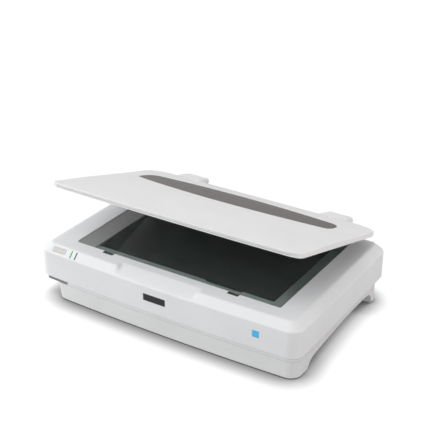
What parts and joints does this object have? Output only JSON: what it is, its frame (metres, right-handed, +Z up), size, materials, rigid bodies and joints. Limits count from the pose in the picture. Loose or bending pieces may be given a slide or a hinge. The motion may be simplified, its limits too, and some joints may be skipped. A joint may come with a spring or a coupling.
{
  "type": "flatbed scanner",
  "caption": "Large-format flatbed scanner: white case with a glass bed, moving scan carriage on a belt drive, and a crowned hinged lid whose posts lift for thick originals.",
  "frame": {"origin": "centre of the bounding box in plan, on the table under the feet, with the lid at its rest angle", "axes": "+X to the right along the width seen from the front, +Y from the front to the back, +Z up"},
  "size_m": [0.656, 0.4582, 0.2691],
  "materials": {
    "case_white": "fine-grained moulded white plastic",
    "base_white": "fine-grained moulded off-white plastic",
    "lid_white": "smooth satin white plastic",
    "taupe_plastic": "taupe insert with fine brushed streaks",
    "glass": "clear float glass over a dark interior",
    "grey_strip": "matte grey plastic",
    "white_strip": "matte white reference strip",
    "dark_plastic": "dark brown-grey plastic",
    "badge": "dark plate, blank",
    "blue_label": "plain blue label",
    "green_lens": "lit green light guide",
    "smoke_plastic": "smoke grey plastic",
    "beige_plastic": "pale beige plastic",
    "black_plastic": "black moulded plastic",
    "white_nylon": "natural acetal",
    "mat_foam": "white foam mat with a smooth skin",
    "lamp": "white diffuser",
    "circuit_board": "green solder mask",
    "rubber": "matte rubber",
    "belt_rubber": "ribbed timing belt",
    "steel": "bright drawn steel",
    "zinc": "zinc-plated sheet steel",
    "brass": "sintered bronze",
    "mirror": "front-silvered glass"
  },
  "bodies": {
    "base": {"lower_shell": "base_white", "upper_case": "case_white", "badge_plate": "badge", "blue_label": "blue_label", "platen_glass": "glass", "border_strip": "grey_strip", "calibration_strip": "white_strip", "mat_catch_left": "dark_plastic", "mat_catch_right": "dark_plastic", "ready_light": "green_lens", "error_light": "smoke_plastic", "foot_front_left": "rubber", "foot_front_right": "rubber", "foot_rear_left": "rubber", "foot_rear_right": "rubber", "guide_shaft": "steel", "shaft_holder_left": "zinc", "shaft_holder_right": "zinc", "front_rail": "steel", "timing_belt": "belt_rubber", "motor_bracket": "zinc", "gear_axle": "steel", "stepper_motor": "zinc", "idler_bracket": "zinc", "main_board": "circuit_board", "power_supply_board": "circuit_board", "power_inlet": "black_plastic", "usb_port": "steel", "option_port": "steel"},
    "start_button": {"start_button": "beige_plastic"},
    "power_switch": {"power_switch": "smoke_plastic"},
    "transport_lock": {"transport_lock": "smoke_plastic"},
    "carriage": {"carriage_housing": "black_plastic", "shaft_bush_left": "brass", "shaft_bush_right": "brass", "front_glide": "white_nylon", "light_bar": "lamp", "first_mirror": "mirror", "second_mirror": "mirror", "third_mirror": "mirror", "scan_lens": "black_plastic", "sensor_board": "circuit_board", "belt_clamp": "zinc"},
    "drive_gear": {"drive_gear": "white_nylon"},
    "motor_pinion": {"motor_pinion": "brass"},
    "idler_pulley": {"idler_pulley": "white_nylon"},
    "hinge_posts": {"hinge_post_left": "steel", "hinge_post_right": "steel"},
    "lid": {"lid_cover": "lid_white", "lid_panel": "taupe_plastic", "lid_liner": "lid_white", "document_mat": "mat_foam", "lid_bumper_left": "rubber", "lid_bumper_right": "rubber", "hinge_arm_left": "steel", "hinge_pin_left": "steel", "hinge_cover_left": "lid_white", "hinge_arm_right": "steel", "hinge_pin_right": "steel", "hinge_cover_right": "lid_white"}
  },
  "joints": [
    {"name": "lid_lift", "type": "slide", "parent": "base", "child": "hinge_posts", "axis": [0, 0, 1], "range_m": [0, 0.03]},
    {"name": "lid_hinge", "type": "hinge", "parent": "hinge_posts", "child": "lid", "pos_m": [0, 0.2178, 0.1416], "axis": [-1, 0, 0], "range_deg": [-17.1, 47.9]},
    {"name": "carriage_travel", "type": "slide", "parent": "base", "child": "carriage", "axis": [1, 0, 0], "range_m": [0, 0.45]},
    {"name": "drive_gear_spin", "type": "hinge", "parent": "base", "child": "drive_gear", "pos_m": [0.245, -0.0222, 0.06], "axis": [0, 0, 1], "continuous": true},
    {"name": "idler_pulley_spin", "type": "hinge", "parent": "base", "child": "idler_pulley", "pos_m": [-0.285, -0.0222, 0.06], "axis": [0, 0, 1], "continuous": true},
    {"name": "motor_pinion_spin", "type": "hinge", "parent": "base", "child": "motor_pinion", "pos_m": [0.2188, -0.0222, 0.0465], "axis": [0, 0, 1], "continuous": true},
    {"name": "start_button_press", "type": "slide", "parent": "base", "child": "start_button", "axis": [0, 0.7071, -0.7071], "range_m": [0, 0.0012], "stiffness_N_per_m": 600},
    {"name": "power_switch_press", "type": "slide", "parent": "base", "child": "power_switch", "axis": [0, 1, 0], "range_m": [0, 0.0015], "stiffness_N_per_m": 600},
    {"name": "transport_lock_turn", "type": "hinge", "parent": "base", "child": "transport_lock", "pos_m": [-0.281, 0.0278, 0.028], "axis": [1, 0, 0], "range_deg": [0, 90]}
  ],
  "couplings": [
    {"joint": "drive_gear_spin", "follows": "carriage_travel", "rad_per_m": 110.5},
    {"joint": "idler_pulley_spin", "follows": "carriage_travel", "rad_per_m": 110.5},
    {"joint": "motor_pinion_spin", "follows": "carriage_travel", "rad_per_m": -368.32}
  ]
}
